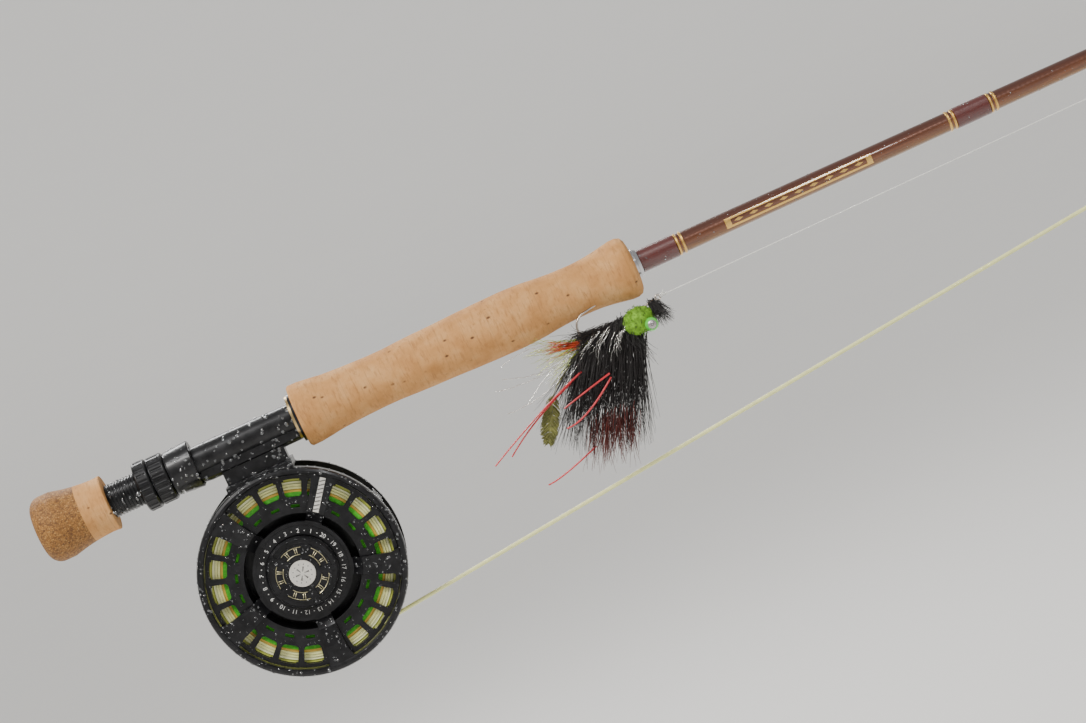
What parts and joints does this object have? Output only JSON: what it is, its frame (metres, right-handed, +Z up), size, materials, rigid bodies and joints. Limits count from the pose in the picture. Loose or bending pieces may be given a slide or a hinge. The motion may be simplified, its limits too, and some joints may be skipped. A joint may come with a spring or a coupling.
{
  "type": "fly rod and reel",
  "caption": "Jointed fly rod with cork grip and fighting butt, disc-drag large-arbor reel, line, leader and a streamer fly",
  "frame": {"origin": "on the rod's axis at the middle of the cork hand grip", "axes": "+X along the rod to its tip, +Z up, reel hanging below, drag knob towards -Y and crank towards +Y"},
  "size_m": [2.6833, 0.062, 0.1348],
  "materials": {
    "burl_cork": "speckled composite cork",
    "cork": "natural cork, sanded",
    "black_anodised": "black anodised, wet",
    "hood_black": "black anodised",
    "brass_trim": "satin",
    "check_metal": "polished",
    "blank_amber": "clear-coated graphite blank",
    "thread_burgundy": "silk thread under epoxy",
    "gold_trim": "metallic trim thread under epoxy",
    "guide_steel": "polished hard chrome",
    "guide_frame": "grey plated",
    "ceramic": "polished black ceramic",
    "steel": "machined stainless",
    "silver_mark": "satin silver",
    "dial": "engraved anodised",
    "carbon": "woven carbon",
    "seal_rubber": "nitrile",
    "bronze": "bronze",
    "backing_green": "braided bright green",
    "line_yellow": "coated fly line",
    "leader_clear": "clear monofilament",
    "crank_plastic": "moulded grip",
    "hook_steel": "black nickel",
    "wool_green": "dubbed wool",
    "eye_green": "painted dumbbell eye",
    "hair_black": "fur and feather",
    "leg_red": "rubber legs"
  },
  "bodies": {
    "rod": {"butt_cap": "burl_cork", "butt_ring": "cork", "seat_barrel": "hood_black", "fixed_hood": "hood_black", "seat_collar": "brass_trim", "grip_cork": "cork", "winding_check": "check_metal", "blank_butt": "blank_amber", "blank_lower": "blank_amber", "blank_upper": "blank_amber", "blank_tip": "blank_amber", "grip_wraps": "thread_burgundy", "gold_bands": "gold_trim", "name_panel": "gold_trim", "ferrule_wraps": "thread_burgundy", "guide_wraps": "thread_burgundy", "stripping_frames": "guide_frame", "stripping_rings": "ceramic", "snake_guides": "guide_steel", "tip_top": "guide_steel", "reel_foot": "black_anodised", "foot_screws": "steel", "reel_frame": "black_anodised", "spoke_inlay": "silver_mark", "dial_ring": "dial", "spindle": "steel", "ball_bearings": "steel", "one_way_clutch": "steel", "drag_housing": "hood_black", "carbon_discs": "carbon", "steel_discs": "steel", "drag_springs": "steel", "drag_seal": "seal_rubber", "pawl_pin": "steel", "pawl_spring": "steel", "fly_line": "line_yellow", "line_knot": "line_yellow", "leader": "leader_clear", "fly_hook": "hook_steel", "fly_head": "wool_green", "fly_eyes": "eye_green", "fly_tail": "hair_black", "fly_legs": "leg_red"},
    "spool": {"spool": "black_anodised", "backing": "backing_green", "wound_line": "line_yellow", "click_gear": "bronze", "handle_post": "steel", "handle_screw": "steel", "counterweight": "steel"},
    "crank_grip": {"handle_knob": "crank_plastic"},
    "cap": {"spool_cap": "black_anodised"},
    "knob": {"drag_knob": "black_anodised", "knob_badge": "silver_mark"},
    "plate": {"pressure_plate": "steel"},
    "hood": {"sliding_hood": "hood_black"},
    "rear_ring": {"rear_lock_ring": "black_anodised"},
    "front_ring": {"front_lock_ring": "black_anodised"},
    "pawl": {"click_pawl": "steel"}
  },
  "joints": [
    {"name": "spool_spin", "type": "hinge", "parent": "rod", "child": "spool", "pos_m": [-0.117, 0, -0.0675], "axis": [0, 1, 0], "continuous": true},
    {"name": "crank_grip_spin", "type": "hinge", "parent": "spool", "child": "crank_grip", "pos_m": [-0.079, 0, -0.0675], "axis": [0, 1, 0], "continuous": true},
    {"name": "cap_turn", "type": "hinge", "parent": "spool", "child": "cap", "pos_m": [-0.117, 0, -0.0675], "axis": [0, 1, 0], "range_deg": [-90, 0]},
    {"name": "drag_turn", "type": "hinge", "parent": "rod", "child": "knob", "pos_m": [-0.117, 0, -0.0675], "axis": [0, -1, 0], "range_deg": [-160, 160]},
    {"name": "plate_slide", "type": "slide", "parent": "rod", "child": "plate", "axis": [0, 1, 0], "range_m": [-0.0003, 0.0003]},
    {"name": "hood_slide", "type": "slide", "parent": "rod", "child": "hood", "axis": [-1, 0, 0], "range_m": [0, 0.0135]},
    {"name": "rear_ring_turn", "type": "hinge", "parent": "hood", "child": "rear_ring", "pos_m": [-0.165, 0, 0], "axis": [1, 0, 0], "range_deg": [0, 3040]},
    {"name": "front_ring_turn", "type": "hinge", "parent": "hood", "child": "front_ring", "pos_m": [-0.165, 0, 0], "axis": [1, 0, 0], "range_deg": [0, 3040]},
    {"name": "pawl_swing", "type": "hinge", "parent": "rod", "child": "pawl", "pos_m": [-0.13955, 0, -0.07571], "axis": [0, 1, 0], "range_deg": [-12, 12]}
  ],
  "couplings": [
    {"joint": "drag_turn", "follows": "plate_slide", "rad_per_m": 9308.4},
    {"joint": "rear_ring_turn", "follows": "hood_slide", "rad_per_m": 3927},
    {"joint": "front_ring_turn", "follows": "hood_slide", "rad_per_m": 3927}
  ]
}
